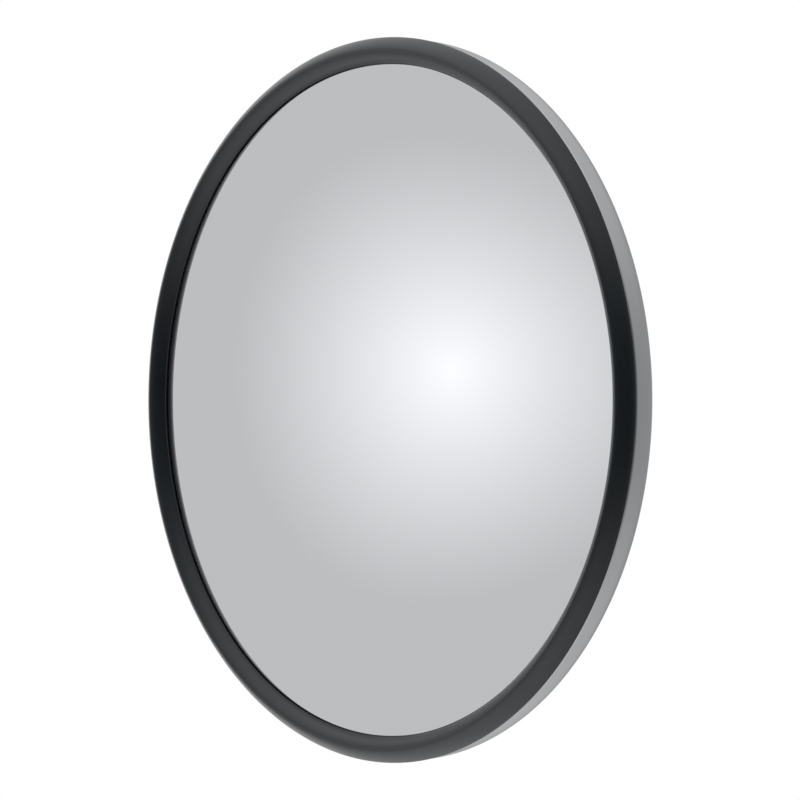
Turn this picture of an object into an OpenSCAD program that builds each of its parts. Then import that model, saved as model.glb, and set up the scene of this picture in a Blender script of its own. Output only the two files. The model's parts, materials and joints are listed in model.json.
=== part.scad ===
// Round convex mirror head on a ball stud.
// Frame: +Z up, the glass faces -Y, the stud points along +Y. The origin is on the stud's axis, on the
// rear face of the hex shoulder, where the bracket bears. Millimetres.

/* [Rubber rim] */
// Outside diameter over the rubber
rim_d = 215.9; // [180:0.1:260]
// Width of the bead outside its crest
bead_out_w = 3.98; // [3:0.02:5]
// Width of the bead inside its crest
bead_in_w = 3.65; // [3:0.05:4.5]
// Height of the crest in front of the shell's flange
bead_rise = 6.38; // [5:0.02:8]
// Height at which the outside of the bead is widest
bead_widest = 1.83; // [1.2:0.01:2.6]
// Height at which the front lip meets the glass
lip_z = 3.0; // [2.8:0.1:3.8]
// Width of the rounded underside outside the shell's front bend
undercut_w = 1.48; // [1:0.02:2]
// Rubber between the glass edge and the flange edge
web_t = 1.1; // [0.8:0.1:1.6]
// Thickness of the rear lip behind the flange
rear_lip_t = 1.8; // [1.2:0.1:2.6]
// Width of the rear lip behind the flange
rear_lip_w = 2.2; // [1.2:0.1:2.6]
// Width of the shelf behind the glass edge
shelf_w = 2.9; // [1.5:0.1:5]
// Where the rim's two ends meet, as an angle up from +X
splice_angle = -10.6; // [-180:0.1:180]
// Gap between the rim's two ends
splice_gap = 0.2; // [0.1:0.05:0.6]

/* [Glass] */
// Radius of curvature of the glass
glass_r = 635; // [300:5:1000]
// Thickness of the glass
glass_t = 2.2; // [1.8:0.1:3]
// How far the glass reaches under the front lip
glass_bite = 1.95; // [1.2:0.05:2.4]

/* [Shell] */
// Sheet thickness
wall = 0.8; // [0.6:0.05:1.1]
// How far the rubber stands outside the skirt
rim_overhang = 0.75; // [0.3:0.05:1.2]
// Outside radius of the bend between flange and skirt
front_bend_r = 1.2; // [1.15:0.05:2]
// Depth of the straight skirt
skirt_depth = 4.5; // [4.2:0.1:12]
// Outside radius of the bend between skirt and dome
corner_r = 5; // [3:0.5:8]
// Outside radius of the dome
dome_r = 190; // [165:1:300]
// How far the flat boss lies below the dome's full height
boss_drop = 2.4; // [2.2:0.1:3.5]
// Outside radius of the bend around the boss
boss_bend_r = 6; // [3:0.5:10]
// Diameter of the drain hole at the bottom of the skirt
drain_d = 3; // [2:0.5:4]

/* [Ball joint] */
// Ball diameter
ball_d = 19; // [16:0.1:20]
// Distance from the ball's centre to the bracket seat
ball_reach = 20; // [20:0.5:30]
// Diameter of the stud's neck
neck_d = 8.8; // [7:0.1:9]
// Thickness of the nylon liner
liner_t = 1.45; // [1:0.05:1.6]
// Radial clearance of everything that turns
running_fit = 0.05; // [0.02:0.01:0.09]
// Half angle of the opening that the neck swings in
opening_angle = 48; // [46:0.5:50]
// Sheet thickness of the socket cap
cap_t = 1.5; // [1.2:0.1:1.6]
// Radius of the cap's round flange
cap_flange_r = 17.5; // [16.5:0.1:18]
// Width of the cap's screw tabs
cap_tab_w = 13; // [11:0.5:14]
// Thickness of the rubber seal under the cap
seal_t = 1; // [0.6:0.1:1.6]
// Thickness of the reinforcing plate
plate_t = 1.5; // [1:0.1:2.5]
// Radius of the reinforcing plate
plate_r = 28; // [27.5:0.1:29]
// Radius of the circle of clamp screws and rivets
fastener_circle_r = 22.5; // [21.5:0.1:23]
// Wall of the pressure cup at its widest
cup_wall = 2.55; // [2:0.05:2.7]
// Space between the cap and the pressure cup, taken up as the joint wears
cup_gap = 0.2; // [0.1:0.05:0.5]
// Depth of the pressure cup in front of the ball's centre
cup_depth = 12.5; // [12.2:0.1:15]
// Space between the dust cover and the cap
cover_gap = 0.3; // [0.2:0.05:0.5]
// Thickness of the dust cover
cover_t = 1; // [0.8:0.1:1.2]
// Half angle that the dust cover spans
cover_angle = 60; // [52:1:62]

/* [Spring] */
// Thickness of one disc spring
disc_t = 0.9; // [0.6:0.1:1.2]
// Free cone height of one disc spring, on top of its thickness
disc_cone = 0.7; // [0.4:0.1:1]
// Number of disc springs, stacked face to face in pairs
disc_count = 2; // [2:2:4]
// Sheet thickness of the spring housing
housing_t = 1.2; // [0.8:0.1:1.6]

/* [Fasteners] */
// Clamp screw diameter
screw_d = 5; // [4:0.5:5]
// Clamp screw length under the head
screw_len = 14; // [13:0.5:18]
// Rivet shank diameter
rivet_d = 4; // [3:0.5:4.5]

/* [Stud] */
// Shank diameter, 3/8 inch
stud_d = 9.525; // [8:0.005:10]
// Thickness of bracket that the plain shank takes, 1/4 inch
bracket_t = 6.35; // [4:0.05:8]
// Distance from the bracket seat to the stud's tip
stud_reach = 22; // [21:0.5:32]
// Hex shoulder size across flats
shoulder_af = 19; // [16:0.5:20]
// Hex shoulder thickness
shoulder_t = 4; // [3:0.1:4]
// Nut size across flats, 9/16 inch
nut_af = 14.29; // [13:0.01:16]
// Nut height
nut_h = 8.33; // [6:0.01:9]

/* [Hidden] */
$fn = 128;

// How sharp the bead's two sides are: 2 is an ellipse and 1 is a straight slope
bead_out_curve = 1.6;
bead_in_curve = 1.444;
// Steps in an arc of an outline, and $fn of an outline's large circles
arc_steps = 12;
large_fn = 720;
// How far a cutting shape runs past what it cuts
past = 1;

// Rim and glass: radii from the mirror's axis, heights z forward from the flange's front face
bead_r = rim_d / 2 - bead_out_w;
lip_r = bead_r - bead_in_w;
glass_edge_r = lip_r + glass_bite;
glass_centre_z = lip_z - sqrt(pow(glass_r, 2) - pow(lip_r, 2));
flange_r = glass_edge_r + web_t;
lip_bevel = 0.8;

// Shell: the same radii, depths d rearward from the flange's front face
skirt_r = rim_d / 2 - rim_overhang;
corner_at = [skirt_r - corner_r, skirt_depth];
dome_centre_d = skirt_depth - sqrt(pow(dome_r - corner_r, 2) - pow(corner_at[0], 2));
shell_depth = dome_centre_d + dome_r - boss_drop;
boss_flat_r = sqrt(pow(dome_r - boss_bend_r, 2) - pow(dome_r - boss_bend_r - boss_drop, 2));
boss_bend_at = [boss_flat_r, shell_depth - boss_bend_r];
front_bend_at = [skirt_r - front_bend_r, front_bend_r];
dome_from = atan2(corner_at[1] - dome_centre_d, corner_at[0]);
dome_to = atan2(boss_bend_at[1] - dome_centre_d, boss_bend_at[0]);

// Ball joint: radii from the ball's centre, places z rearward from it
ball_r = ball_d / 2;
liner_in_r = ball_r + running_fit;
liner_out_r = liner_in_r + liner_t;
socket_r = liner_out_r + running_fit;
cap_out_r = socket_r + cap_t;
cover_in_r = cap_out_r + cover_gap;
cover_out_r = cover_in_r + cover_t;
cup_r = socket_r + cup_wall;
slide_gap = 0.2;
hub_r = cup_r + slide_gap;
cap_face_z = 0;
cap_seat_z = cap_face_z - cap_t;
boss_z = cap_seat_z - seal_t;
plate_rear_z = boss_z - wall;
plate_front_z = plate_rear_z - plate_t;
housing_flange_z = plate_front_z - housing_t;
cup_top_z = cap_seat_z - cup_gap;
spring_len = disc_count * (disc_t + disc_cone);
spring_front_z = -cup_depth - spring_len;
housing_front_z = spring_front_z - housing_t;
housing_out_r = hub_r + housing_t;
rim_y = -ball_reach + boss_z - shell_depth;

// Liner
liner_front_z = -5.6;
liner_slots = 4;
liner_slot_w = 1.4;
liner_slot_top_z = 1.5;

// Dust cover and neck
neck_r = neck_d / 2;
cover_bore_r = neck_r + running_fit + 0.02;
cover_collar_r = cover_bore_r + 1.6;
shoulder_front_z = ball_reach - shoulder_t;
cover_collar_gap = 0.25;

// Clamp fasteners
fastener_count = 3;
first_screw_angle = -90;
first_rivet_angle = first_screw_angle + 180 / fastener_count;
screw_r = screw_d / 2;
screw_hole_r = screw_r + 0.2;
screw_head_af = 1.6 * screw_d;
screw_head_h = 0.7 * screw_d;
clamp_washer_t = 1.2;
clamp_washer_r = 0.9 * screw_d;
clamp_washer_bore_r = screw_r + 0.1;
split_w = 0.8;
weld_nut_af = 1.7 * screw_d;
weld_nut_h = 0.84 * screw_d;
thread_gap = 0.05;
nut_window_r = weld_nut_af / sqrt(3) + 0.5;
rivet_r = rivet_d / 2;
rivet_head_r = 0.9 * rivet_d;
rivet_head_h = 0.38 * rivet_d;
rivet_tail_h = 0.3 * rivet_d;

// Stud fasteners, in y from the bracket seat
stud_r = stud_d / 2;
thread_r = stud_r - 0.0625;
runout_w = 1;
runout_r = stud_r - 0.5;
tip_chamfer = 0.8;
stud_washer_t = 1.65;
stud_washer_r = 10.3;
stud_washer_bore_r = stud_r + 0.4;
stud_lock_t = 2.4;
stud_lock_r = 8.6;
stud_lock_bore_r = stud_r + 0.2;
nut_bore_r = thread_r + 0.08;
washer_y = bracket_t;
lock_y = washer_y + stud_washer_t;
nut_y = lock_y + stud_lock_t;

// Points along an arc about c, as angles in degrees
function arc(c, r, from, to, steps = arc_steps) =
  [for (i = [0:steps]) let (a = from + (to - from) * i / steps) c + r * [cos(a), sin(a)]];

// Points along a quarter of a bead: half sizes w and h, and a curve of 1 to 2
function quarter(c, w, h, curve, from, to, steps = 14) =
  [for (i = [0:steps])
    let (a = from + (to - from) * i / steps, u = cos(a), v = sin(a))
    c + [w * sign(u) * pow(abs(u), 2 / curve), h * sign(v) * pow(abs(v), 2 / curve)]];

// Local frame on the stud's axis: z rearward, y down
module on_axis(y) translate([0, y, 0]) rotate([-90, 0, 0]) children();

// Local frame of the rim: z forward from the flange's front face, y up
module on_rim() translate([0, rim_y, 0]) rotate([90, 0, 0]) children();

module around(first, r) {
  for (i = [0:fastener_count - 1])
    rotate([0, 0, first + 360 * i / fastener_count]) translate([r, 0, 0]) children();
}

module hex(af, h) cylinder(r = af / sqrt(3), h = h, $fn = 6);

// A hexagon with its corners turned off at both ends, as on a nut
module turned_hex(af, h) {
  corner_r = af / sqrt(3);
  turned = (corner_r - af / 2) * 0.6;
  intersection() {
    hex(af, h);
    rotate_extrude()
      polygon([[0, 0], [af / 2, 0], [corner_r, turned], [corner_r, h - turned], [af / 2, h], [0, h]]);
  }
}

module ring(r_out, r_in, h) {
  difference() {
    cylinder(r = r_out, h = h);
    translate([0, 0, -past]) cylinder(r = r_in, h = h + 2 * past);
  }
}

// A lock washer: a ring with one slanted cut through it
module split_washer(r_out, r_in, h) {
  difference() {
    ring(r_out, r_in, h);
    translate([(r_in + r_out) / 2, 0, h / 2]) rotate([20, 0, 0])
      cube([r_out - r_in + 2 * past, split_w, 2 * h + 2 * past], center = true);
  }
}

module screw_holes(z, h) translate([0, 0, z]) around(first_screw_angle, fastener_circle_r)
  cylinder(r = screw_hole_r, h = h, $fn = 48);

module rivet_holes(z, h) translate([0, 0, z]) around(first_rivet_angle, fastener_circle_r)
  cylinder(r = rivet_r, h = h, $fn = 48);

// Outline of the cap's flange and of the seal under it: a disc with three round-ended tabs
module cap_outline() {
  circle(r = cap_flange_r);
  around(first_screw_angle, fastener_circle_r) circle(r = cap_tab_w / 2, $fn = 64);
  around(first_screw_angle, fastener_circle_r / 2)
    square([fastener_circle_r, cap_tab_w], center = true);
}

// The space that the glass fills
module glass_blank() {
  rotate_extrude() intersection() {
    translate([0, glass_centre_z]) difference() {
      circle(r = glass_r, $fn = large_fn);
      circle(r = glass_r - glass_t, $fn = large_fn);
    }
    square([glass_edge_r, glass_r]);
  }
}

module mirror_glass() {
  color("silver") on_rim() glass_blank();
}

module rim_gasket() {
  shelf_r = glass_edge_r - shelf_w;
  rear_z = -wall - rear_lip_t;
  lip_out_r = flange_r + rear_lip_w;
  section = concat(
    quarter([bead_r, bead_widest], bead_out_w, bead_rise - bead_widest, bead_out_curve, 0, 90),
    quarter([bead_r, lip_z], bead_in_w, bead_rise - lip_z, bead_in_curve, 90, 180),
    [[shelf_r, lip_z - glass_t / 2], [shelf_r, rear_z + lip_bevel], [shelf_r + lip_bevel, rear_z],
     [lip_out_r - lip_bevel, rear_z], [lip_out_r, rear_z + lip_bevel], [lip_out_r, -wall],
     [flange_r, -wall], [flange_r, 0]],
    quarter([rim_d / 2 - undercut_w, bead_widest], undercut_w, bead_widest, bead_out_curve, -90, -6)
  );
  color([0.13, 0.15, 0.16]) on_rim() difference() {
    rotate_extrude() polygon(section);
    glass_blank();
    rotate([0, 0, splice_angle]) translate([shelf_r - past, -splice_gap / 2, rear_z - past])
      cube([rim_d / 2 - shelf_r + 2 * past, splice_gap, bead_rise - rear_z + 2 * past]);
  }
}

module back_shell() {
  section = concat(
    [[flange_r, 0]],
    arc(front_bend_at, front_bend_r, -90, 0, 6),
    arc(corner_at, corner_r, 0, dome_from),
    arc([0, dome_centre_d], dome_r, dome_from, dome_to, 2 * arc_steps),
    arc(boss_bend_at, boss_bend_r, dome_to, 90, 6),
    [[hub_r, shell_depth], [hub_r, shell_depth - wall]],
    arc(boss_bend_at, boss_bend_r - wall, 90, dome_to, 6),
    arc([0, dome_centre_d], dome_r - wall, dome_to, dome_from, 2 * arc_steps),
    arc(corner_at, corner_r - wall, dome_from, 0),
    arc(front_bend_at, front_bend_r - wall, 0, -90, 6),
    [[flange_r, wall]]
  );
  drain_d_at = (front_bend_r + skirt_depth) / 2;
  color([0.72, 0.73, 0.74]) on_axis(rim_y) difference() {
    rotate_extrude() polygon(section);
    screw_holes(shell_depth - wall - past, wall + 2 * past);
    rivet_holes(shell_depth - wall - past, wall + 2 * past);
    translate([0, skirt_r - wall - past, drain_d_at]) rotate([-90, 0, 0])
      cylinder(r = drain_d / 2, h = wall + 2 * past, $fn = 48);
  }
}

module reinforcing_plate() {
  color([0.6, 0.6, 0.58]) on_axis(-ball_reach) translate([0, 0, plate_front_z]) difference() {
    ring(plate_r, hub_r, plate_t);
    screw_holes(-past, plate_t + 2 * past);
    rivet_holes(-past, plate_t + 2 * past);
  }
}

module plate_rivets() {
  color([0.7, 0.7, 0.7]) on_axis(-ball_reach) around(first_rivet_angle, fastener_circle_r) {
    head_r = (pow(rivet_head_r, 2) + pow(rivet_head_h, 2)) / (2 * rivet_head_h);
    translate([0, 0, housing_flange_z]) cylinder(r = rivet_r, h = boss_z - housing_flange_z, $fn = 48);
    translate([0, 0, boss_z]) intersection() {
      translate([0, 0, rivet_head_h - head_r]) sphere(r = head_r, $fn = 96);
      cylinder(r = rivet_head_r, h = rivet_head_h + past, $fn = 48);
    }
    translate([0, 0, housing_flange_z - rivet_tail_h])
      cylinder(r1 = 0.66 * rivet_d, r2 = 0.8 * rivet_d, h = rivet_tail_h, $fn = 48);
  }
}

module weld_nuts() {
  color([0.66, 0.64, 0.55]) on_axis(-ball_reach) translate([0, 0, plate_front_z - weld_nut_h])
    around(first_screw_angle, fastener_circle_r) difference() {
      turned_hex(weld_nut_af, weld_nut_h);
      translate([0, 0, -past]) cylinder(r = screw_r + thread_gap, h = weld_nut_h + 2 * past, $fn = 48);
    }
}

module cap_seal() {
  color([0.1, 0.1, 0.1]) on_axis(-ball_reach) translate([0, 0, boss_z]) difference() {
    linear_extrude(seal_t) cap_outline();
    translate([0, 0, -past]) cylinder(r = hub_r, h = seal_t + 2 * past);
    screw_holes(-past, seal_t + 2 * past);
  }
}

module socket_cap() {
  color([0.74, 0.75, 0.76]) on_axis(-ball_reach) difference() {
    union() {
      translate([0, 0, cap_seat_z]) linear_extrude(cap_t) cap_outline();
      difference() {
        sphere(r = cap_out_r);
        translate([0, 0, cap_seat_z - 2 * cap_out_r]) cylinder(r = 2 * cap_out_r, h = 2 * cap_out_r);
      }
    }
    sphere(r = socket_r);
    translate([0, 0, cap_seat_z - past]) cylinder(r = socket_r, h = cap_t + past);
    cylinder(r1 = 0, r2 = 2 * cap_out_r * tan(opening_angle), h = 2 * cap_out_r);
    screw_holes(cap_seat_z - past, cap_t + 2 * past);
  }
}

module clamp_lock_washers() {
  color([0.66, 0.66, 0.64]) on_axis(-ball_reach) translate([0, 0, cap_face_z])
    around(first_screw_angle, fastener_circle_r)
      split_washer(clamp_washer_r, clamp_washer_bore_r, clamp_washer_t, $fn = 48);
}

module clamp_screws() {
  color([0.74, 0.74, 0.72]) on_axis(-ball_reach) translate([0, 0, cap_face_z + clamp_washer_t])
    around(first_screw_angle, fastener_circle_r) {
      turned_hex(screw_head_af, screw_head_h);
      translate([0, 0, -screw_len]) cylinder(r = screw_r, h = screw_len, $fn = 48);
    }
}

module pressure_cup() {
  color([0.6, 0.6, 0.6]) on_axis(-ball_reach) difference() {
    translate([0, 0, -cup_depth]) cylinder(r = cup_r, h = cup_depth + cup_top_z);
    sphere(r = socket_r);
    translate([0, 0, -cup_depth - past]) cylinder(r = cup_r / 2, h = cup_depth);
  }
}

// Coned disc springs, each pair mouth to mouth
module disc_springs() {
  disc_out_r = cup_r - 0.5;
  disc_in_r = cup_r / 2;
  pitch = disc_t + disc_cone;
  color([0.4, 0.4, 0.42]) on_axis(-ball_reach) for (i = [0:disc_count - 1]) {
    lift_in = i % 2 == 0 ? 0 : disc_cone;
    lift_out = disc_cone - lift_in;
    translate([0, 0, spring_front_z + i * pitch]) rotate_extrude() polygon([[disc_in_r, lift_in],
      [disc_out_r, lift_out], [disc_out_r, lift_out + disc_t], [disc_in_r, lift_in + disc_t]]);
  }
}

// A closed can over the springs, flanged onto the plate and cut clear of the weld nuts
module spring_housing() {
  flange_out_r = plate_r - 1;
  color([0.62, 0.62, 0.6]) on_axis(-ball_reach) difference() {
    union() {
      translate([0, 0, housing_front_z]) cylinder(r = housing_out_r, h = plate_front_z - housing_front_z);
      translate([0, 0, housing_flange_z]) cylinder(r = flange_out_r, h = housing_t);
    }
    translate([0, 0, spring_front_z]) cylinder(r = hub_r, h = plate_front_z - spring_front_z + past);
    translate([0, 0, housing_flange_z - past]) around(first_screw_angle, fastener_circle_r)
      cylinder(r = nut_window_r, h = housing_t + 2 * past, $fn = 48);
    rivet_holes(housing_flange_z - past, housing_t + 2 * past);
  }
}

module ball_liner() {
  color("ivory") on_axis(-ball_reach) difference() {
    sphere(r = liner_out_r);
    sphere(r = liner_in_r);
    cylinder(r1 = 0, r2 = 2 * ball_d * tan(opening_angle), h = 2 * ball_d);
    translate([0, 0, liner_front_z - ball_d]) cylinder(r = ball_d, h = ball_d);
    for (i = [0:liner_slots - 1])
      rotate([0, 0, 45 + 360 * i / liner_slots]) translate([0, -liner_slot_w / 2, -ball_d])
        cube([ball_d, liner_slot_w, ball_d + liner_slot_top_z]);
  }
}

// A dished washer over the socket's opening, turning on the neck by its collar
module dust_cover() {
  collar_end_z = shoulder_front_z - cover_collar_gap;
  collar_angle = asin(cover_collar_r / cover_out_r);
  bore_angle = asin(cover_bore_r / cover_in_r);
  section = concat(
    arc([0, 0], cover_in_r, 90 - cover_angle, 90 - bore_angle, 2 * arc_steps),
    [[cover_bore_r, collar_end_z], [cover_collar_r, collar_end_z]],
    arc([0, 0], cover_out_r, 90 - collar_angle, 90 - cover_angle, 2 * arc_steps)
  );
  color([0.12, 0.12, 0.12]) on_axis(-ball_reach) rotate_extrude() polygon(section);
}

module ball_stud() {
  shank_section = [[0, -past], [stud_r, -past], [stud_r, bracket_t], [runout_r, bracket_t],
    [runout_r, bracket_t + runout_w], [thread_r, bracket_t + runout_w],
    [thread_r, stud_reach - tip_chamfer], [thread_r - tip_chamfer, stud_reach], [0, stud_reach]];
  color([0.7, 0.7, 0.66]) {
    on_axis(-ball_reach) {
      sphere(r = ball_r);
      cylinder(r = neck_r, h = shoulder_front_z + past);
    }
    on_axis(-shoulder_t) rotate([0, 0, 30]) turned_hex(shoulder_af, shoulder_t);
    on_axis(0) rotate_extrude() polygon(shank_section);
  }
}

module flat_washer() {
  color([0.72, 0.72, 0.68]) on_axis(washer_y) ring(stud_washer_r, stud_washer_bore_r, stud_washer_t);
}

module lock_washer() {
  color([0.66, 0.66, 0.62]) on_axis(lock_y) split_washer(stud_lock_r, stud_lock_bore_r, stud_lock_t);
}

module hex_nut() {
  color([0.74, 0.73, 0.68]) on_axis(nut_y) difference() {
    turned_hex(nut_af, nut_h);
    translate([0, 0, -past]) cylinder(r = nut_bore_r, h = nut_h + 2 * past);
  }
}

mirror_glass();
rim_gasket();
back_shell();
reinforcing_plate();
plate_rivets();
weld_nuts();
cap_seal();
socket_cap();
clamp_lock_washers();
clamp_screws();
pressure_cup();
disc_springs();
spring_housing();
ball_liner();
dust_cover();
ball_stud();
flat_washer();
lock_washer();
hex_nut();
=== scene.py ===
"""Round convex mirror head on a ball stud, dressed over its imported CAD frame.

Axes follow the frame: +Z up, the glass faces -Y, the stud points along +Y, and every round piece turns
about the Y axis. Lengths are metres. Sections are lists of (radius, y) points, and an angle about the
axis is measured up from +X.
"""
import json
import math

import bmesh
import bpy
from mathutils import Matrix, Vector

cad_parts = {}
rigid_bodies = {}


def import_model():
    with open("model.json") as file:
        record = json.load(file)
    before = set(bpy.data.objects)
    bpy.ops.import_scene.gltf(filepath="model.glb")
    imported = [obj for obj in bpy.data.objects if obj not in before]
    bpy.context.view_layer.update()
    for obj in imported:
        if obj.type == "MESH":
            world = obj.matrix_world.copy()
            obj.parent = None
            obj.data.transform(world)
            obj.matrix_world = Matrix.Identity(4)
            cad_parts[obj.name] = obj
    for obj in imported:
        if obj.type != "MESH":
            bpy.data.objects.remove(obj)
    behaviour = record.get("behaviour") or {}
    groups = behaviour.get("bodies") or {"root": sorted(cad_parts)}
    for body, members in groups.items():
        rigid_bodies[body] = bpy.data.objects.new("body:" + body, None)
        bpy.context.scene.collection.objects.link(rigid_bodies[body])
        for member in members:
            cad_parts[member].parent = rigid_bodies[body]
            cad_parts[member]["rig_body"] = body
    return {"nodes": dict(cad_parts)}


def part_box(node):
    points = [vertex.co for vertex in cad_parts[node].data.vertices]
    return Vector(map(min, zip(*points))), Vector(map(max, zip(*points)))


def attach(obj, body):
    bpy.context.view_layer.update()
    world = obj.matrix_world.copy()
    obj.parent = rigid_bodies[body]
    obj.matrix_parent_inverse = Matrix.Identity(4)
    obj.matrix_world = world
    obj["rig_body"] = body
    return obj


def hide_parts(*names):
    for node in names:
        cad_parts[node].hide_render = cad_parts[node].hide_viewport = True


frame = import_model()

bl_info = {
    "name": "Round Convex Mirror Head", "version": (1, 0, 0), "blender": (4, 5, 0),
    "location": "3D View > Sidebar > Mirror Head",
    "description": "Builds a round convex mirror with its rubber rim, steel shell and ball stud",
    "category": "Object"
}

MM = 0.001
FULL_TURN = 2 * math.pi

# Steps around the axis for large and small round pieces, and along an arc
LARGE_STEPS = 360
SMALL_STEPS = 96
ARC_STEPS = 14

# Points nearer than this are one point
TOUCHING = 0.002 * MM

# Edges that turn by more than this many degrees stay sharp, on most pieces, on hexagons and on rubber
SHARP = 28
HEX_SHARP = 24
RUBBER_SHARP = 40


def linear(hex_colour):
    """The linear colour of an sRGB hex value."""
    channels = [int(hex_colour[i : i + 2], 16) / 255 for i in (1, 3, 5)]
    return [c / 12.92 if c <= 0.04045 else ((c + 0.055) / 1.055) ** 2.4 for c in channels]


def front_y(node):
    """The y of a CAD node's face nearest the glass side."""
    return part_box(node)[0].y


def rear_y(node):
    """The y of a CAD node's face nearest the stud's tip."""
    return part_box(node)[1].y


def half_width(node):
    """Half of a CAD node's width along X."""
    low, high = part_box(node)
    return (high.x - low.x) / 2


# Sizes and colours -------------------------------------------------------------------------------


def length(name, description, millimetres):
    return bpy.props.FloatProperty(
        name=name, description=description, default=millimetres * MM, min=0, precision=5,
        subtype="DISTANCE", unit="LENGTH"
    )


def turn(name, description, degrees):
    return bpy.props.FloatProperty(
        name=name, description=description, default=math.radians(degrees), subtype="ANGLE",
        unit="ROTATION"
    )


def factor(name, description, value):
    return bpy.props.FloatProperty(
        name=name, description=description, default=value, min=0, subtype="FACTOR"
    )


def colour(name, description, hex_colour):
    return bpy.props.FloatVectorProperty(
        name=name, description=description, default=linear(hex_colour), size=3, min=0, max=1,
        subtype="COLOR"
    )


class RimSizes(bpy.types.PropertyGroup):
    diameter: length("Diameter", "Outside diameter over the rubber rim", 215.9)
    bead_out_width: length("Outer Bead", "Width of the bead outside its crest", 3.98)
    bead_in_width: length("Inner Bead", "Width of the bead inside its crest", 3.95)
    bead_rise: length("Rise", "Height of the crest in front of the shell's flange", 5.48)
    bead_widest: length("Widest Height", "Height where the bead's outside is widest", 0.6)
    lip_height: length("Lip Height", "Height at which the front lip meets the glass", 1.9)
    undercut: length("Undercut", "Width of the rounded underside", 1.48)
    web: length("Web", "Rubber between the glass edge and the flange edge", 1.1)
    rear_lip: length("Rear Lip", "Thickness of the lip behind the flange", 1.8)
    rear_lip_width: length("Rear Lip Width", "Width of the lip behind the flange", 2.2)
    shelf: length("Shelf", "Width of the shelf behind the glass edge", 2.9)
    splice: turn("Splice", "Where the rim's two ends meet", -10.6)
    splice_gap: length("Splice Gap", "Gap between the rim's two ends", 0.05)
    lip_roll: length("Lip Roll", "Radius of the lip's rolled edge", 0.25)
    lip_lift: length("Lip Lift", "Space between the rolled edge and the glass", 0.3)
    lip_clear: length("Lip Clear", "Width of the lip's edge that stands off the glass", 0.6)
    rear_bevel: length("Rear Bevel", "Width of the rear lip's bevels", 0.8)
    out_curve: factor("Outer Curve", "Fullness of the bead's outside, where 2 is an ellipse", 1.42)
    in_curve: factor("Inner Curve", "Fullness of the bead's inside, where 2 is an ellipse", 1.444)


class GlassSizes(bpy.types.PropertyGroup):
    curvature: length("Curvature", "Radius of the glass's front face", 635)
    thickness: length("Thickness", "Thickness of the glass", 2.2)
    bite: length("Bite", "How far the glass reaches under the front lip", 2.25)
    ground_edge: length("Ground Edge", "Width of the ground edge's bevels", 0.35)


class ShellSizes(bpy.types.PropertyGroup):
    sheet: length("Sheet", "Thickness of the drawn sheet", 0.8)
    overhang: length("Overhang", "How far the rubber stands outside the skirt", 0.75)
    front_bend: length("Front Bend", "Outside radius of the bend behind the rubber", 1.0)
    skirt: length("Skirt", "Depth of the straight skirt", 4.6)
    corner: length("Corner", "Outside radius of the bend into the dome", 4.7)
    boss_bend: length("Boss Bend", "Outside radius of the bend around the boss", 6)
    boss_drop: length("Boss Drop", "How far the boss lies under the dome's full height", 2.4)
    hub: length("Hub Hole", "Radius of the hole in the boss", 13.8)
    drain: length("Drain Hole", "Diameter of the drain hole at the bottom", 3)


class MountSizes(bpy.types.PropertyGroup):
    ball: length("Ball", "Diameter of the ball", 19)
    ball_reach: length("Ball Reach", "From the bracket seat to the ball's centre", 20)
    neck: length("Neck", "Diameter of the neck", 8.8)
    neck_fillet: length("Neck Fillet", "Radius where the neck meets the hex shoulder", 0.2)
    shoulder_flats: length("Shoulder", "Size of the hex shoulder across flats", 19)
    shank: length("Shank", "Diameter of the plain shank", 9.525)
    runout: length("Run-out", "Radius of the groove in front of the thread", 4.26)
    pitch: length("Pitch", "Distance between two turns of the stud's thread", 1.5875)
    nut_flats: length("Nut", "Size of the nut across flats", 14.29)
    cap_flange: length("Cap Flange", "Radius of the cap's round flange", 17.5)
    cap_tab: length("Cap Tab", "Width of a screw tab", 13)
    cap_fillet: length("Cap Fillet", "Radius where the cap's bowl meets its flange", 1.6)
    cap_edge: length("Cap Edge", "Rounding of the cap's and the seal's edge", 0.3)
    housing_sheet: length("Housing Sheet", "Thickness of the spring housing's flange", 1.2)
    opening: turn("Opening", "Half angle of the opening that the neck swings in", 48)
    cover_span: turn("Cover Span", "Half angle that the dust cover spans", 60)


class FastenerSizes(bpy.types.PropertyGroup):
    circle: length("Circle", "Radius of the circle of screws and rivets", 22.5)
    screw_flats: length("Screw Head", "Size of a clamp screw's head across flats", 8)
    screw_head: length("Head Height", "Height of a clamp screw's head", 3.5)
    screw: length("Screw", "Diameter of a clamp screw", 5)
    screw_pitch: length("Screw Pitch", "Distance between two turns of its thread", 0.8)
    rivet: length("Rivet", "Diameter of a rivet's shank", 4)
    rivet_head: length("Rivet Head", "Radius of a rivet's head", 3.6)
    rivet_dome: length("Rivet Dome", "Height of a rivet's head", 1.52)
    washer: length("Washer", "Thickness of a clamp screw's lock washer", 1.2)
    split: length("Split", "Width of a lock washer's split", 0.8)
    loose_turn: turn("Loose Turn", "How far the screws' heads differ in turn", 24)


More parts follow.
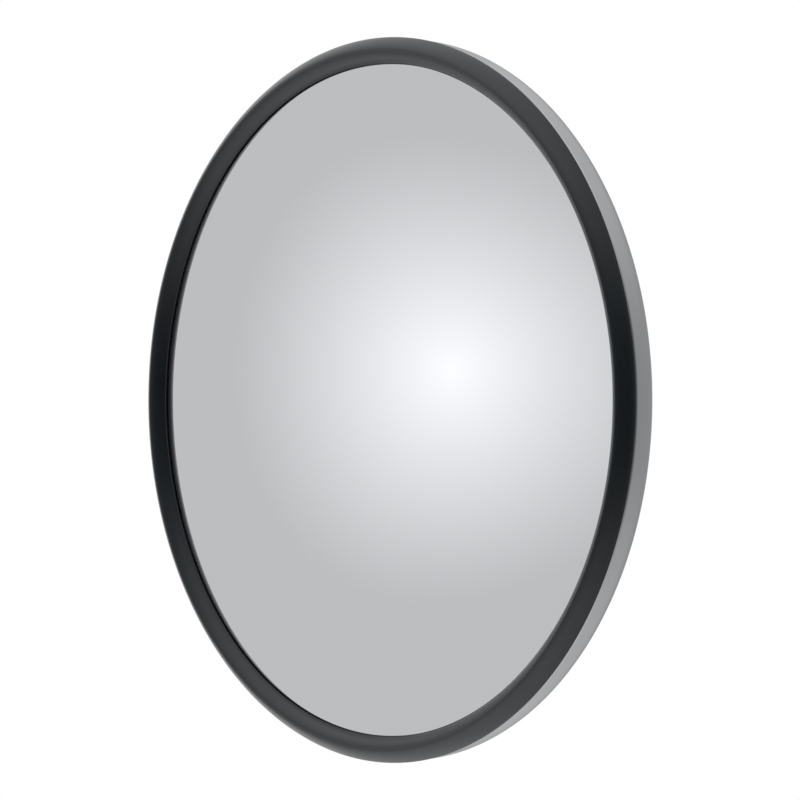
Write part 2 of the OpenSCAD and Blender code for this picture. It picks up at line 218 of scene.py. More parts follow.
class FinishColours(bpy.types.PropertyGroup):
    chrome: colour("Chrome", "Mirror coating on the glass", "#E6E7EA")
    chrome_thin: colour("Thin Chrome", "Mirror coating where it is thinner", "#E5E6E9")
    rubber: colour("Rubber", "Black rubber of the rim", "#10191E")
    rubber_bloom: colour("Rubber Bloom", "Faint grey bloom on the rubber", "#151D22")
    stainless: colour("Stainless", "Satin stainless sheet", "#C2C4C6")
    zinc: colour("Zinc", "Clear zinc plate", "#BFC3C6")
    zinc_warm: colour("Warm Zinc", "Straw tint in the zinc's passivation", "#C7C1AC")
    bright: colour("Bright Steel", "Nickel-bright rivets and screws", "#D0CFCB")
    bare: colour("Bare Steel", "Bare steel under a film of oil", "#8E9093")
    spring: colour("Spring Steel", "Blackened spring steel", "#4C4B4D")
    nylon: colour("Nylon", "Natural nylon", "#E4DFCD")
    plastic: colour("Plastic", "Black moulded cover", "#1E1F21")
    seal: colour("Seal", "Black seal rubber", "#202021")
    floor: colour("Floor", "Pale studio floor", "#EFEFEF")


class StageSettings(bpy.types.PropertyGroup):
    azimuth: turn("Azimuth", "Camera's angle to the right of the glass's front", 48.3)
    view_width: length("View Width", "Width of the view at the rim", 237.9)
    distance: length("Distance", "Camera's distance from the rim", 2000)
    aim_right: length("Aim Right", "How far right of the axis the camera aims", 1.27)
    floor_drop: length("Floor Drop", "How far the floor lies below the axis", 600)
    floor_radius: length("Floor Radius", "Radius of the floor", 3500)


class MirrorHead(bpy.types.PropertyGroup):
    rim: bpy.props.PointerProperty(type=RimSizes, name="Rim", description="Rubber rim")
    glass: bpy.props.PointerProperty(type=GlassSizes, name="Glass", description="Glass")
    shell: bpy.props.PointerProperty(type=ShellSizes, name="Shell", description="Shell")
    mount: bpy.props.PointerProperty(type=MountSizes, name="Mount", description="Ball mount")
    fasteners: bpy.props.PointerProperty(
        type=FastenerSizes, name="Fasteners", description="Screws and rivets"
    )
    colours: bpy.props.PointerProperty(type=FinishColours, name="Colours", description="Finish colours")
    stage: bpy.props.PointerProperty(type=StageSettings, name="Stage", description="Stage")


# Nodes -------------------------------------------------------------------------------------------


def add(tree, kind, inputs=None, **settings):
    """Adds a node. An input's value is a constant, a socket, or a node that stands for its first output."""
    node = tree.nodes.new(kind)
    for name, value in settings.items():
        setattr(node, name, value)
    for key, value in (inputs or {}).items():
        source = value.outputs[0] if isinstance(value, bpy.types.Node) else value
        if isinstance(source, bpy.types.NodeSocket):
            tree.links.new(source, node.inputs[key])
        else:
            node.inputs[key].default_value = source
    return node


def new_tree(name, inputs):
    """A geometry tree with these inputs besides geometry and material, as (tree, input node)."""
    tree = bpy.data.node_groups.new(name, "GeometryNodeTree")
    for label, kind in {"Geometry": "Geometry", **inputs, "Material": "Material"}.items():
        tree.interface.new_socket(label, in_out="INPUT", socket_type="NodeSocket" + kind)
    tree.interface.new_socket("Geometry", in_out="OUTPUT", socket_type="NodeSocketGeometry")
    return tree, tree.nodes.new("NodeGroupInput")


def finish_tree(tree, given, geometry):
    """Ends a tree: realize the instances, set the material, and hand the geometry out."""
    plain = add(tree, "GeometryNodeRealizeInstances", {"Geometry": geometry})
    painted = add(
        tree, "GeometryNodeSetMaterial", {"Geometry": plain, "Material": given.outputs["Material"]}
    )
    add(tree, "NodeGroupOutput", {"Geometry": painted})
    return tree


def grid_places(tree, rows):
    """Each grid point's row and column, counted from 0, on a grid with this many rows."""
    index = add(tree, "GeometryNodeInputIndex")
    row = add(tree, "ShaderNodeMath", {0: index, 1: rows}, operation="MODULO")
    passed = add(tree, "ShaderNodeMath", {0: index, 1: rows}, operation="DIVIDE")
    column = add(tree, "ShaderNodeMath", {0: passed}, operation="FLOOR")
    return row, column


def about_axis(tree, radius, angle, y):
    """The place at a radius and an angle about the Y axis."""
    cosine = add(tree, "ShaderNodeMath", {0: angle}, operation="COSINE")
    sine = add(tree, "ShaderNodeMath", {0: angle}, operation="SINE")
    x = add(tree, "ShaderNodeMath", {0: radius, 1: cosine}, operation="MULTIPLY")
    z = add(tree, "ShaderNodeMath", {0: radius, 1: sine}, operation="MULTIPLY")
    return add(tree, "ShaderNodeCombineXYZ", {"X": x, "Y": y, "Z": z})


def turned_tree():
    """Turns a closed section about the Y axis, all the way round or from one cut end to the other."""
    tree, given = new_tree(
        "Turned Section", {"Steps": "Int", "Start": "Float", "Sweep": "Float", "Cut Ends": "Bool"}
    )
    section = given.outputs["Geometry"]
    steps = given.outputs["Steps"]
    start = given.outputs["Start"]
    sweep = given.outputs["Sweep"]

    # A grid with one column for each of the section's points, and one more to close it
    size = add(tree, "GeometryNodeAttributeDomainSize", {"Geometry": section}, component="MESH")
    points = size.outputs["Point Count"]
    columns = add(tree, "ShaderNodeMath", {0: points, 1: 1.0}, operation="ADD")
    rows = add(tree, "ShaderNodeMath", {0: steps, 1: 1.0}, operation="ADD")
    grid = add(tree, "GeometryNodeMeshGrid", {"Vertices X": columns, "Vertices Y": rows})

    step, column = grid_places(tree, rows)
    point = add(tree, "ShaderNodeMath", {0: column, 1: points}, operation="MODULO")
    position = add(tree, "GeometryNodeInputPosition")
    sampled = add(
        tree, "GeometryNodeSampleIndex", {"Geometry": section, "Value": position, "Index": point},
        data_type="FLOAT_VECTOR"
    )
    parts = add(tree, "ShaderNodeSeparateXYZ", {"Vector": sampled})
    share = add(tree, "ShaderNodeMath", {0: step, 1: steps}, operation="DIVIDE")
    angle = add(tree, "ShaderNodeMath", {0: share, 1: sweep, 2: start}, operation="MULTIPLY_ADD")
    spot = about_axis(tree, parts.outputs["X"], angle, parts.outputs["Y"])
    skin = add(tree, "GeometryNodeSetPosition", {"Geometry": grid.outputs["Mesh"], "Position": spot})

    # The section itself closes each cut end
    end = add(tree, "ShaderNodeMath", {0: start, 1: sweep}, operation="ADD")
    both = add(tree, "GeometryNodeJoinGeometry")
    for at in (start, end):
        back = add(tree, "ShaderNodeMath", {0: at, 1: -1.0}, operation="MULTIPLY")
        rotation = add(tree, "ShaderNodeCombineXYZ", {"Y": back})
        cap = add(tree, "GeometryNodeTransform", {"Geometry": section, "Rotation": rotation})
        tree.links.new(cap.outputs[0], both.inputs[0])
    ends = add(
        tree, "GeometryNodeSwitch", {"Switch": given.outputs["Cut Ends"], "True": both},
        input_type="GEOMETRY"
    )
    whole = add(tree, "GeometryNodeJoinGeometry")
    for part in (skin, ends):
        tree.links.new(part.outputs[0], whole.inputs[0])
    merged = add(tree, "GeometryNodeMergeByDistance", {"Geometry": whole, "Distance": TOUCHING})
    return finish_tree(tree, given, merged)


def thread_tree():
    """A screw thread along Y: a helical skin on a rod, or inside a bore when its height is negative."""
    tree, given = new_tree(
        "Screw Thread",
        {
            "Start": "Float", "Length": "Float", "Pitch": "Float", "Base Radius": "Float",
            "Thread Height": "Float", "Closing Radius": "Float", "Lead-in": "Float"
        }
    )
    around = 72
    per_turn = 14
    pitch = given.outputs["Pitch"]
    reach = given.outputs["Length"]

    turns = add(tree, "ShaderNodeMath", {0: reach, 1: pitch}, operation="DIVIDE")
    cuts = add(tree, "ShaderNodeMath", {0: turns, 1: per_turn}, operation="MULTIPLY")
    levels = add(tree, "ShaderNodeMath", {0: cuts}, operation="CEIL")
    # Two closing rows and one that comes back to the first
    all_rows = add(tree, "ShaderNodeMath", {0: levels, 1: 4.0}, operation="ADD")
    grid = add(tree, "GeometryNodeMeshGrid", {"Vertices X": all_rows, "Vertices Y": around + 1})
    step, row = grid_places(tree, around + 1.0)
    turned_by = add(tree, "ShaderNodeMath", {0: step, 1: around}, operation="DIVIDE")
    angle = add(tree, "ShaderNodeMath", {0: turned_by, 1: FULL_TURN}, operation="MULTIPLY")

    rung = add(tree, "ShaderNodeMath", {0: row, 1: 1.0}, operation="SUBTRACT")
    rise = add(tree, "ShaderNodeMath", {0: rung, 1: levels}, operation="DIVIDE", use_clamp=True)
    last = add(tree, "ShaderNodeMath", {0: levels, 1: 2.5}, operation="ADD")
    before_last = add(tree, "ShaderNodeMath", {0: row, 1: last}, operation="LESS_THAN")
    risen = add(tree, "ShaderNodeMath", {0: rise, 1: before_last}, operation="MULTIPLY")
    along = add(tree, "ShaderNodeMath", {0: risen, 1: reach}, operation="MULTIPLY")

    # A ridge: straight flanks with a flat crest and a flat root, an eighth of the pitch each
    flat = 1 / 8
    travelled = add(tree, "ShaderNodeMath", {0: along, 1: pitch}, operation="DIVIDE")
    phase = add(tree, "ShaderNodeMath", {0: travelled, 1: turned_by}, operation="ADD")
    wave = add(tree, "ShaderNodeMath", {0: phase, 1: 0.5}, operation="PINGPONG")
    flanks = {"Value": wave, "From Min": flat / 2, "From Max": 0.5 - flat / 2}
    ridge = add(tree, "ShaderNodeMapRange", flanks)
    # The ridge dies out over the lead-in at both ends
    left = add(tree, "ShaderNodeMath", {0: reach, 1: along}, operation="SUBTRACT")
    nearest = add(tree, "ShaderNodeMath", {0: left, 1: along}, operation="MINIMUM")
    fade = add(
        tree, "ShaderNodeMath", {0: nearest, 1: given.outputs["Lead-in"]}, operation="DIVIDE",
        use_clamp=True
    )
    limited = add(tree, "ShaderNodeMath", {0: ridge, 1: fade}, operation="MINIMUM")
    radius = add(
        tree, "ShaderNodeMath",
        {0: limited, 1: given.outputs["Thread Height"], 2: given.outputs["Base Radius"]},
        operation="MULTIPLY_ADD"
    )

    # The first row and the last two lie on the closing radius
    first = add(tree, "ShaderNodeMath", {0: row, 1: 0.5}, operation="LESS_THAN")
    top = add(tree, "ShaderNodeMath", {0: levels, 1: 1.5}, operation="ADD")
    after = add(tree, "ShaderNodeMath", {0: row, 1: top}, operation="GREATER_THAN")
    closing = add(tree, "ShaderNodeMath", {0: first, 1: after}, operation="ADD")
    chosen = add(
        tree, "GeometryNodeSwitch",
        {"Switch": closing, "False": radius, "True": given.outputs["Closing Radius"]},
        input_type="FLOAT"
    )
    y = add(tree, "ShaderNodeMath", {0: along, 1: given.outputs["Start"]}, operation="ADD")
    spot = about_axis(tree, chosen, angle, y)
    skin = add(tree, "GeometryNodeSetPosition", {"Geometry": grid.outputs["Mesh"], "Position": spot})
    merged = add(tree, "GeometryNodeMergeByDistance", {"Geometry": skin, "Distance": TOUCHING})
    return finish_tree(tree, given, merged)


def circle_tree():
    """Copies one fastener around the Y axis, each turned a little differently on its own axis."""
    tree, given = new_tree(
        "Fastener Circle",
        {
            "Count": "Int", "Circle Radius": "Float", "First Angle": "Float", "Loose Turn": "Float",
            "Seed": "Int"
        }
    )
    count = given.outputs["Count"]
    index = add(tree, "GeometryNodeInputIndex")
    gap = add(tree, "ShaderNodeMath", {0: FULL_TURN, 1: count}, operation="DIVIDE")
    angle = add(
        tree, "ShaderNodeMath", {0: index, 1: gap, 2: given.outputs["First Angle"]},
        operation="MULTIPLY_ADD"
    )
    spot = about_axis(tree, given.outputs["Circle Radius"], angle, 0.0)
    points = add(tree, "GeometryNodePoints", {"Count": count, "Position": spot})
    spread = add(tree, "FunctionNodeRandomValue", {"Seed": given.outputs["Seed"]}, data_type="FLOAT")
    chance = spread.outputs["Value"]
    centred = add(tree, "ShaderNodeMath", {0: chance, 1: 0.5}, operation="SUBTRACT")
    most = given.outputs["Loose Turn"]
    loose = add(tree, "ShaderNodeMath", {0: centred, 1: most}, operation="MULTIPLY")
    heading = add(tree, "ShaderNodeMath", {0: loose, 1: angle}, operation="SUBTRACT")
    rotation = add(tree, "ShaderNodeCombineXYZ", {"Y": heading})
    copies = add(
        tree, "GeometryNodeInstanceOnPoints",
        {"Points": points, "Instance": given.outputs["Geometry"], "Rotation": rotation}
    )
    return finish_tree(tree, given, copies)


def tree_named(name):
    """A geometry tree of this file, built when it is first asked for."""
    builders = {
        "Turned Section": turned_tree, "Screw Thread": thread_tree, "Fastener Circle": circle_tree
    }
    return bpy.data.node_groups.get(name) or builders[name]()


def in_scene(name, data):
    """A new object with this data, linked to the scene."""
    item = bpy.data.objects.new(name, data)
    bpy.context.scene.collection.objects.link(item)
    return item


def baked(item):
    """The plain mesh of an object with its modifiers applied. The object is removed."""
    bpy.context.view_layer.update()
    shown = item.evaluated_get(bpy.context.evaluated_depsgraph_get())
    mesh = bpy.data.meshes.new_from_object(shown)
    bpy.data.objects.remove(item)
    return mesh


def grow(mesh, tree, values):
    """The plain mesh that a geometry tree makes from a mesh and named input values."""
    host = in_scene(mesh.name, mesh)
    modifier = host.modifiers.new("Nodes", "NODES")
    modifier.node_group = tree
    for item in tree.interface.items_tree:
        if item.in_out == "INPUT" and item.name in values:
            modifier[item.identifier] = values[item.name]
    return baked(host)


# Shapes ------------------------------------------------------------------------------------------


def arc(centre, radius, start, end, steps=ARC_STEPS):
    """Points along an arc about a (radius, y) centre, angles in degrees."""
    angles = [math.radians(start + (end - start) * i / steps) for i in range(steps + 1)]
    return [(centre[0] + radius * math.cos(a), centre[1] + radius * math.sin(a)) for a in angles]


def bead_quarter(centre, width, height, curve, start, end):
    """Points along a quarter of the rubber bead, where a curve of 2 is an ellipse."""
    points = []
    for i in range(ARC_STEPS + 1):
        angle = math.radians(start + (end - start) * i / ARC_STEPS)
        u = math.copysign(abs(math.cos(angle)) ** (2 / curve), math.cos(angle))
        v = math.copysign(abs(math.sin(angle)) ** (2 / curve), math.sin(angle))
        points.append((centre[0] + width * u, centre[1] + height * v))
    return points


def section_mesh(name, points):
    """A section as one flat face, its points at (radius, y)."""
    mesh = bpy.data.meshes.new(name)
    mesh.from_pydata([(r, y, 0) for r, y in points], [], [list(range(len(points)))])
    return mesh


def turned(name, points, steps=LARGE_STEPS, start=0.0, sweep=FULL_TURN, cut_ends=False):
    """A closed section turned about the Y axis, as a mesh."""
    values = {"Steps": steps, "Start": start, "Sweep": sweep, "Cut Ends": cut_ends}
    return grow(section_mesh(name, points), tree_named("Turned Section"), values)


def threaded(name, start, reach, pitch, base, height, closing, lead_in):
    """A thread from y = start over a reach, as a mesh."""
    values = {
        "Start": start, "Length": reach, "Pitch": pitch, "Base Radius": base, "Thread Height": height,
        "Closing Radius": closing, "Lead-in": lead_in
    }
    return grow(bpy.data.meshes.new(name), tree_named("Screw Thread"), values)


def circled(mesh, count, radius, first_angle, loose_turn, seed):
    """Copies of a fastener's mesh around the Y axis."""
    values = {
        "Count": count, "Circle Radius": radius, "First Angle": first_angle, "Loose Turn": loose_turn,
        "Seed": seed
    }
    return grow(mesh, tree_named("Fastener Circle"), values)


def skinned(name, rings, loop=False):
    """A mesh through rings of points, closed by a loop of rings or by its end rings' faces."""
    count = len(rings[0])
    faces = []
    last = len(rings) if loop else len(rings) - 1
    for i in range(last):
        here = i * count
        there = (i + 1) % len(rings) * count
        for j in range(count):
            k = (j + 1) % count
            faces.append((here + j, here + k, there + k, there + j))
    if not loop:
        faces.append(tuple(range(count)))
        faces.append(tuple(range((len(rings) - 1) * count, len(rings) * count)))
    mesh = bpy.data.meshes.new(name)
    mesh.from_pydata([point for row in rings for point in row], [], faces)
    return mesh


def polar(radii, y):
    """A ring of points at one y, from its radius at each even step round, or with y as a list too."""
    count = len(radii)
    heights = y if isinstance(y, list) else [y] * count
    angles = [FULL_TURN * i / count for i in range(count)]
    return [(r * math.cos(a), h, r * math.sin(a)) for r, h, a in zip(radii, heights, angles)]


def ring(radius, y, count):
    """A round ring of points at one y."""
    return polar([radius] * count, y)


def hex_radii(flats, count, turned_by=0.0):
    """Radius of a hexagon at each even step round."""
    radii = []
    for i in range(count):
        angle = (FULL_TURN * i / count + turned_by) % (FULL_TURN / 6) - FULL_TURN / 12
        radii.append(flats / 2 / math.cos(angle))
    return radii


def hex_rings(flats, y0, y1, count, turned_by=0.0):
    """Rings of a hexagon with its corners turned off at both ends."""
    radii = hex_radii(flats, count, turned_by)
    corner = flats / math.sqrt(3)
    # The round face left at each end, just inside the flats, and the slope of the turning
    face = flats / 2 * 0.985
    slope = 0.6
    limit = (corner - face) * slope
    cut = [min((r - face) * slope, limit) for r in radii]
    return [
        ring(face, y0, count), polar(radii, [y0 + c for c in cut]), polar(radii, [y1 - c for c in cut]),
        ring(face, y1, count)
    ]


def joined(name, meshes):
    """One mesh from several, in order."""
    shape = bmesh.new()
    for mesh in meshes:
        shape.from_mesh(mesh)
    whole = bpy.data.meshes.new(name)
    shape.to_mesh(whole)
    shape.free()
    return whole


def cut_by(mesh, cutters):
    """A mesh with the cutters' meshes taken out of it."""
    body = in_scene("cut body", mesh)
    tool = in_scene("cutter", joined("cutter", cutters))
    modifier = body.modifiers.new("Cut", "BOOLEAN")
    modifier.operation = "DIFFERENCE"
    modifier.solver = "EXACT"
    modifier.object = tool
    cut = baked(body)
    bpy.data.objects.remove(tool)
    return cut


def rod(radius, y0, y1, x=0.0, z=0.0, count=48):
    """A plain rod along Y, used as a cutter."""
    rings = [[(px + x, py, pz + z) for px, py, pz in ring(radius, y, count)] for y in (y0, y1)]
    mesh = skinned("rod", rings)
    clean(mesh)
    return mesh


def clean(mesh, sharp_degrees=SHARP):
    """Merges doubles, turns the faces outwards, and smooths all but the sharp edges."""
    shape = bmesh.new()
    shape.from_mesh(mesh)
    bmesh.ops.remove_doubles(shape, verts=shape.verts, dist=TOUCHING)
    bmesh.ops.recalc_face_normals(shape, faces=shape.faces)
    shape.to_mesh(mesh)
    shape.free()
    mesh.shade_smooth()
    mesh.set_sharp_from_angle(angle=math.radians(sharp_degrees))


def place(node, mesh, material, sharp_degrees=SHARP):
    """Finishes a mesh as the piece that stands for a CAD node, on that node's body."""
    clean(mesh, sharp_degrees)
    mesh.materials.clear()
    mesh.materials.append(material)
    piece = in_scene(node + "_piece", mesh)
    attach(piece, frame["nodes"][node]["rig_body"])
    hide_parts(node)
    return piece


def paint(node, material):
    """Gives a CAD node that keeps its shape its material."""
    mesh = frame["nodes"][node].data
    mesh.materials.clear()
    mesh.materials.append(material)


# Materials ---------------------------------------------------------------------------------------


def new_material(name):
    material = bpy.data.materials.new(name)
    material.use_nodes = True
    material.node_tree.nodes.clear()
    return material, material.node_tree


def end_material(material, tree, looks):
    """Ends a material in one shader with these looks, and hands the material out."""
    shader = add(tree, "ShaderNodeBsdfPrincipled", looks)
    add(tree, "ShaderNodeOutputMaterial", {"Surface": shader})
    return material


def round_axis(tree):
    """Places about the Y axis as (radius, y, angle in turns), for marks that run round a piece."""
    coordinates = add(tree, "ShaderNodeTexCoord")
    parts = add(tree, "ShaderNodeSeparateXYZ", {"Vector": coordinates.outputs["Object"]})
    x = parts.outputs["X"]
    z = parts.outputs["Z"]
    flat = add(tree, "ShaderNodeCombineXYZ", {"X": x, "Z": z})
    from_axis = add(tree, "ShaderNodeVectorMath", {0: flat}, operation="LENGTH")
    radius = from_axis.outputs["Value"]
    angle = add(tree, "ShaderNodeMath", {0: z, 1: x}, operation="ARCTAN2")
    turns = add(tree, "ShaderNodeMath", {0: angle, 1: FULL_TURN}, operation="DIVIDE")
    return add(tree, "ShaderNodeCombineXYZ", {"X": radius, "Y": parts.outputs["Y"], "Z": turns})


def rings_pattern(tree, apart, per_turn, detail):
    """Fine lines that run round the Y axis, so far apart and each about 1 / per_turn of a turn long."""
    scale = (1 / apart, 1 / apart, per_turn)
    stretched = add(tree, "ShaderNodeVectorMath", {0: round_axis(tree), 1: scale}, operation="MULTIPLY")
    return add(tree, "ShaderNodeTexNoise", {"Vector": stretched, "Scale": 1.0, "Detail": detail})


def patches_pattern(tree, across, detail):
    """Soft patches in the piece, about so far across."""
    coordinates = add(tree, "ShaderNodeTexCoord")
    on_piece = coordinates.outputs["Object"]
    return add(tree, "ShaderNodeTexNoise", {"Vector": on_piece, "Scale": 1 / across, "Detail": detail})


def two_tints(tree, pattern, first, second):
    """A colour that drifts from one tint to another as a pattern says, as a socket."""
    tint = add(tree, "ShaderNodeMix", {0: pattern, 6: (*first, 1), 7: (*second, 1)}, data_type="RGBA")
    return tint.outputs[2]


def chromed_glass(colours):
    """Polished glass with chrome on its front: a clean mirror whose coating varies very slightly."""
    material, tree = new_material("Chromed glass, polished")
    # The coating's thickness drifts in patches about 60 mm across
    drift = patches_pattern(tree, 60 * MM, 1.0)
    tint = two_tints(tree, drift, colours.chrome, colours.chrome_thin)
    return end_material(material, tree, {"Base Color": tint, "Metallic": 1.0, "Roughness": 0.0})


def extruded_rubber(colours):
    """Extruded EPDM: near black and satin, with faint die lines along its length and a grey bloom."""
    material, tree = new_material("EPDM rubber, extruded")
    # Die lines about 0.4 mm apart, which run the whole way round
    lines = rings_pattern(tree, 0.4 * MM, 6.0, 2.0)
    grain = patches_pattern(tree, 0.25 * MM, 2.0)
    bloom = patches_pattern(tree, 14 * MM, 4.0)
    base = two_tints(tree, bloom, colours.rubber, colours.rubber_bloom)
    roughness = add(tree, "ShaderNodeMapRange", {"Value": bloom, "To Min": 0.26, "To Max": 0.38})
    depth = 0.006 * MM
    line_bump = add(tree, "ShaderNodeBump", {"Strength": 0.5, "Distance": depth, "Height": lines})
    bump = add(
        tree, "ShaderNodeBump",
        {"Strength": 0.5, "Distance": depth, "Height": grain, "Normal": line_bump}
    )
    looks = {"Base Color": base, "Roughness": roughness, "IOR": 1.52, "Normal": bump}
    return end_material(material, tree, looks)


def drawn_stainless(colours):
    """Deep-drawn stainless, satin polished while turning: fine rings blur what it mirrors."""
    material, tree = new_material("Stainless steel, drawn and satin polished")
    # Polishing rings about 0.5 mm apart, coarser than the real grit so that they show
    rings = rings_pattern(tree, 0.5 * MM, 18.0, 4.0)
    cloud = patches_pattern(tree, 30 * MM, 3.0)
    mixed = add(tree, "ShaderNodeMath", {0: rings, 1: 0.6, 2: cloud}, operation="MULTIPLY_ADD")
    roughness = add(
        tree, "ShaderNodeMapRange",
        {"Value": mixed, "From Min": 0.4, "From Max": 1.2, "To Min": 0.26, "To Max": 0.38}
    )
    bump = add(tree, "ShaderNodeBump", {"Strength": 0.35, "Distance": 0.004 * MM, "Height": rings})
    steel = (*colours.stainless, 1)
    looks = {"Base Color": steel, "Metallic": 1.0, "Roughness": roughness, "Normal": bump}
    return end_material(material, tree, looks)


def rough_metal(name, colour_a, colour_b, patch, rough_low, rough_high, grain, grain_depth):
    """A metal whose tint and roughness drift over patches, with a fine grain in its surface."""
    material, tree = new_material(name)
    patches = patches_pattern(tree, patch, 4.0)
    fine = patches_pattern(tree, grain, 3.0)
    base = two_tints(tree, patches, colour_a, colour_b)
    roughness = add(
        tree, "ShaderNodeMapRange",
        {"Value": patches, "From Min": 0.3, "From Max": 0.7, "To Min": rough_low, "To Max": rough_high}
    )
    bump = add(tree, "ShaderNodeBump", {"Strength": 0.5, "Distance": grain_depth, "Height": fine})
    looks = {"Base Color": base, "Metallic": 1.0, "Roughness": roughness, "Normal": bump}
    return end_material(material, tree, looks)


def pressed_stainless(colours):
    """Pressed stainless: tumbled after pressing, so it has a soft grain with no direction."""
    name = "Stainless steel, pressed and tumbled"
    shade = colours.stainless
    return rough_metal(name, shade, shade, 9 * MM, 0.24, 0.36, 0.3 * MM, 0.006 * MM)


def zinc_plate(colours):
    """Zinc plate with clear passivation: cool grey with a straw tint in places, softly bright."""
    name = "Zinc plate, clear passivated"
    return rough_metal(name, colours.zinc, colours.zinc_warm, 5 * MM, 0.26, 0.42, 0.2 * MM, 0.004 * MM)


def nickel_bright(colours):
    """Bright plated steel: smooth and clear, only lightly grained by barrel plating."""
    name = "Steel, bright plated"
    shade = colours.bright
    return rough_metal(name, shade, shade, 3 * MM, 0.16, 0.27, 0.25 * MM, 0.003 * MM)


def oiled_steel(colours):
    """Bare turned steel under oil: mid grey, uneven and fairly dull."""
    name = "Steel, bare and oiled"
    shade = colours.bare
    return rough_metal(name, shade, shade, 6 * MM, 0.32, 0.5, 0.3 * MM, 0.005 * MM)


def blackened_spring_steel(colours):
    """Blackened spring steel: dark and low in gloss."""
    name = "Spring steel, blackened"
    shade = colours.spring
    return rough_metal(name, shade, colours.bare, 4 * MM, 0.38, 0.5, 0.2 * MM, 0.004 * MM)


def moulded(name, shade, rough_low, rough_high, ior, grain, grain_depth):
    """A moulded or cut polymer with an even colour and the grain of its mould."""
    material, tree = new_material(name)
    fine = patches_pattern(tree, grain, 3.0)
    roughness = add(
        tree, "ShaderNodeMapRange", {"Value": fine, "To Min": rough_low, "To Max": rough_high}
    )
    bump = add(tree, "ShaderNodeBump", {"Strength": 0.6, "Distance": grain_depth, "Height": fine})
    looks = {"Base Color": (*shade, 1), "Roughness": roughness, "IOR": ior, "Normal": bump}
    return end_material(material, tree, looks)


def natural_nylon(colours):
    """Natural nylon 66: ivory with a waxy gloss."""
    return moulded("Nylon 66, moulded", colours.nylon, 0.34, 0.46, 1.53, 0.5 * MM, 0.004 * MM)


def moulded_polypropylene(colours):
    """Black polypropylene from a spark-eroded mould: an even, fine matt grain."""
    name = "Polypropylene, moulded matt"
    return moulded(name, colours.plastic, 0.42, 0.58, 1.49, 0.35 * MM, 0.012 * MM)


def cut_seal_rubber(colours):
    """Nitrile sheet cut to shape: black and dull."""
    return moulded("Nitrile rubber, cut sheet", colours.seal, 0.6, 0.75, 1.52, 0.4 * MM, 0.01 * MM)


MATERIALS = {}


def material_named(builder, colours):
    """The material that a builder makes, made once."""
    if builder not in MATERIALS:
        MATERIALS[builder] = builder(colours)
    return MATERIALS[builder]


# Places that several pieces share ----------------------------------------------------------------


def flange_y(head):
    """The y of the shell flange's front face."""
    return front_y("rim_gasket") + head.rim.bead_rise


def lip_radius(head):
    return head.rim.diameter / 2 - head.rim.bead_out_width - head.rim.bead_in_width


def glass_edge(head):
    return lip_radius(head) + head.glass.bite


def glass_y(head, radius, depth=0.0):
    """The y of the glass's front face at a radius, or of a face that lies deeper in it."""
    curvature = head.glass.curvature
    lip_y = flange_y(head) - head.rim.lip_height
    centre = lip_y + math.sqrt(curvature**2 - lip_radius(head) ** 2)
    return centre - math.sqrt((curvature - depth) ** 2 - radius**2)


def skirt_radius(head):
    return head.rim.diameter / 2 - head.shell.overhang


def shoulder_front():
    """The y of the hex shoulder's front face, just clear of the dust cover."""
    return rear_y("dust_cover") + 0.25 * MM


def ball_y(head):
    return -head.mount.ball_reach


# Operators ---------------------------------------------------------------------------------------


class MIRROR_OT_glass(bpy.types.Operator):
    """Make the convex glass with its ground edge"""

    bl_idname = "mirror_head.glass"
    bl_label = "Convex Glass"

    def execute(self, context):
        head = context.scene.mirror_head
        glass = head.glass
        edge = glass_edge(head)
        ground = glass.ground_edge
        rings = 56
        face = [(edge - ground) * i / rings for i in range(rings + 1)]
        points = [(r, glass_y(head, r)) for r in face]
        points.append((edge, glass_y(head, edge) + ground))
        points.append((edge, glass_y(head, edge, glass.thickness) - ground))
        points += [(r, glass_y(head, r, glass.thickness)) for r in reversed(face)]
        mesh = turned("glass", points)
        place("mirror_glass", mesh, material_named(chromed_glass, head.colours))
        return {"FINISHED"}


def rim_section(head):
    """The rubber's H section: bead and front lip, groove for the glass, rear lip, groove for the flange."""
    rim = head.rim
    outer = rim.diameter / 2
    widest = rim.bead_widest
    lip = rim.lip_height
    edge = glass_edge(head)
    front = flange_y(head)

    # The bead, from its widest place over the crest and down to the front lip
    crest = outer - rim.bead_out_width
    heights = bead_quarter(
        (crest, widest), rim.bead_out_width, rim.bead_rise - widest, rim.out_curve, 0, 90
    )
    lip_from = 164
    heights += bead_quarter(
        (crest, lip), rim.bead_in_width, rim.bead_rise - lip, rim.in_curve, 90, lip_from
    )
    points = [(r, front - z) for r, z in heights]

    # The lip's edge is rolled and stands a little off the glass, which it meets further out
    roll = rim.lip_roll
    lifted = front - lip - rim.lip_lift
    inside = lip_radius(head)
    points += arc((inside + roll, lifted - roll), roll, 180, 90, 6)
    meets = inside + rim.lip_clear
    points.append((meets, lifted))

    # The groove follows the glass's front face out, and its back face in again
    steps = 4
    for i in range(steps + 1):
        r = meets + (edge - meets) * i / steps
        points.append((r, glass_y(head, r)))
    for i in range(steps + 1):
        r = edge - rim.shelf * i / steps
        points.append((r, glass_y(head, r, head.glass.thickness)))

    # Behind the glass: the shelf, the rear lip with its bevels, and the groove for the flange
    flange = edge + rim.web
    shelf = edge - rim.shelf
    sheet = head.shell.sheet
    lip_out = flange + rim.rear_lip_width
    rear = front + sheet + rim.rear_lip
    bevel = rim.rear_bevel
    points += [
        (shelf, rear - bevel), (shelf + bevel, rear), (lip_out - bevel, rear), (lip_out, rear - bevel),
        (lip_out, front + sheet), (flange, front + sheet), (flange, front)
    ]
    under_at = (outer - rim.undercut, widest)
    underside = bead_quarter(under_at, rim.undercut, widest, rim.out_curve, -90, -6)
    return points + [(r, front - z) for r, z in underside]


